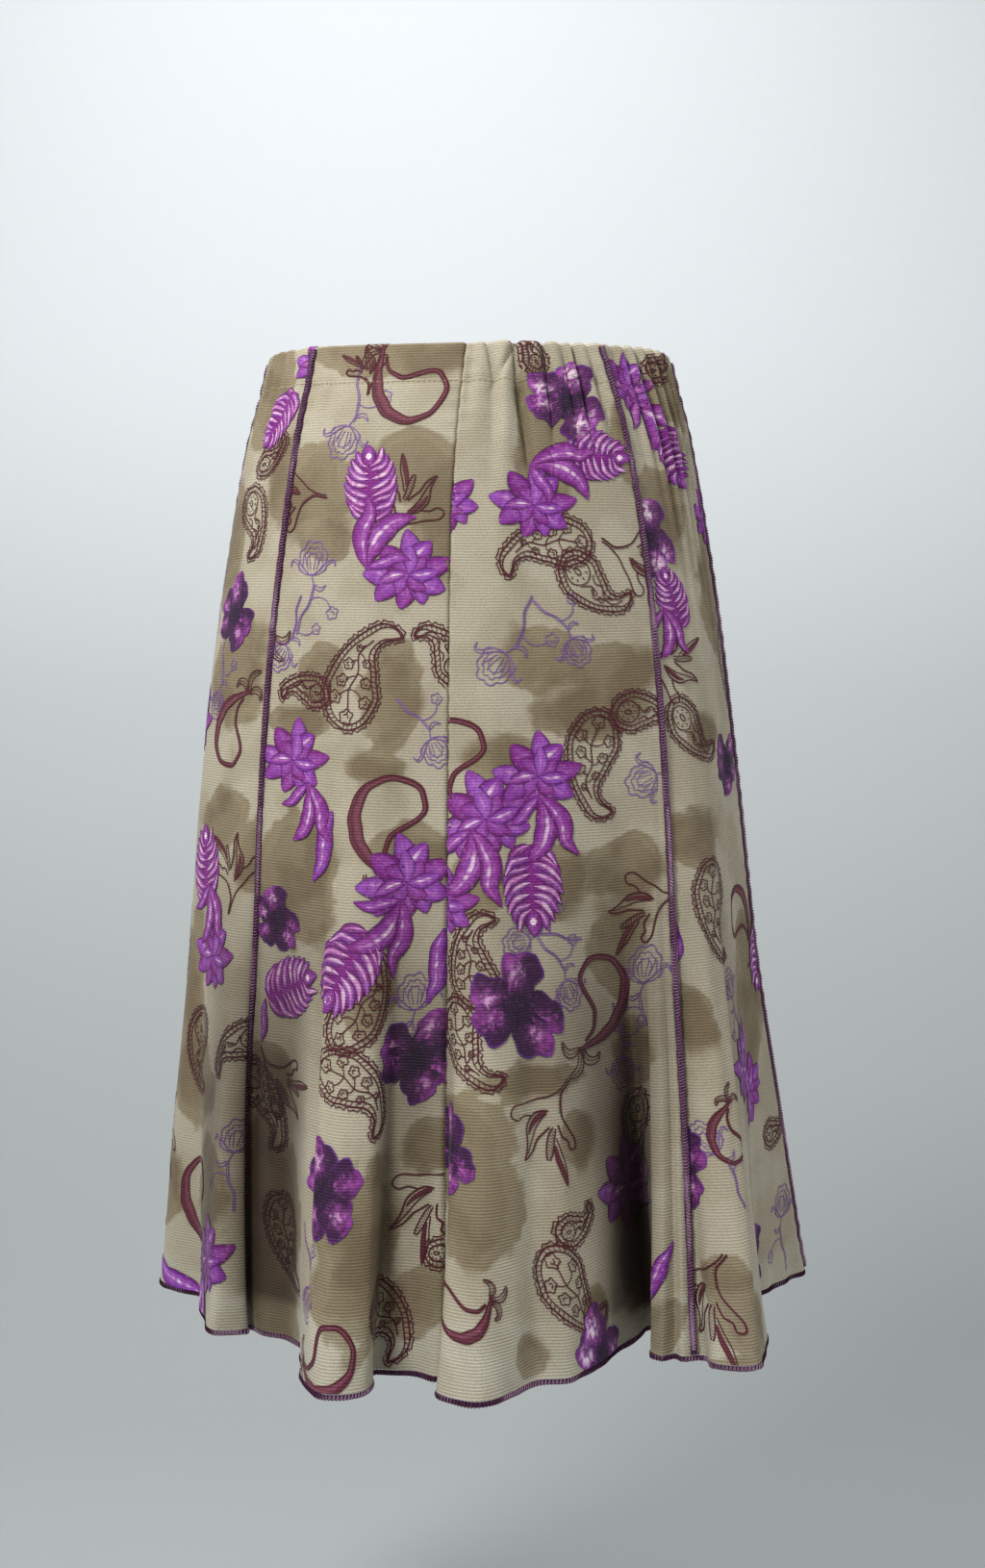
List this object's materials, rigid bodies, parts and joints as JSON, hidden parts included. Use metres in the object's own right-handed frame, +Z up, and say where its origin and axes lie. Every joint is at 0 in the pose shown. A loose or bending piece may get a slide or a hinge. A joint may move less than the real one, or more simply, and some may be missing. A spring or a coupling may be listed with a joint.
{
  "type": "a-line skirt",
  "caption": "Worn a-line skirt of flared gores with a gathered elastic casing, fluted hem, overlocked seams and a plain lining, open at the waist and hem.",
  "frame": {"origin": "middle of the waist opening, level with the top edge at centre back, where the wearer holds the skirt up", "axes": "+Z up along the wearer, +Y out of the centre back, +X towards the wearer's left"},
  "size_m": [0.4621, 0.4491, 0.6464],
  "materials": {
    "printed_knit": "semi-sheer knit with fine crosswise ribs, printed with flowers and paisleys",
    "lining_knit": "plain smooth lining knit",
    "overlock_thread": "dense plum overlock thread",
    "elastic": "woven elastic"
  },
  "bodies": {
    "root": {"gore_back_left": "printed_knit", "gore_back_right": "printed_knit", "gore_side_back_left": "printed_knit", "gore_side_back_right": "printed_knit", "gore_side_front_left": "printed_knit", "gore_side_front_right": "printed_knit", "gore_front_left": "printed_knit", "gore_front_right": "printed_knit", "lining_back": "lining_knit", "lining_front": "lining_knit", "overlock_side_back_left": "overlock_thread", "overlock_side_back_right": "overlock_thread", "overlock_side_left": "overlock_thread", "overlock_side_right": "overlock_thread", "overlock_side_front_left": "overlock_thread", "overlock_side_front_right": "overlock_thread", "overlock_hem": "overlock_thread", "waist_elastic": "elastic"}
  },
  "joints": []
}
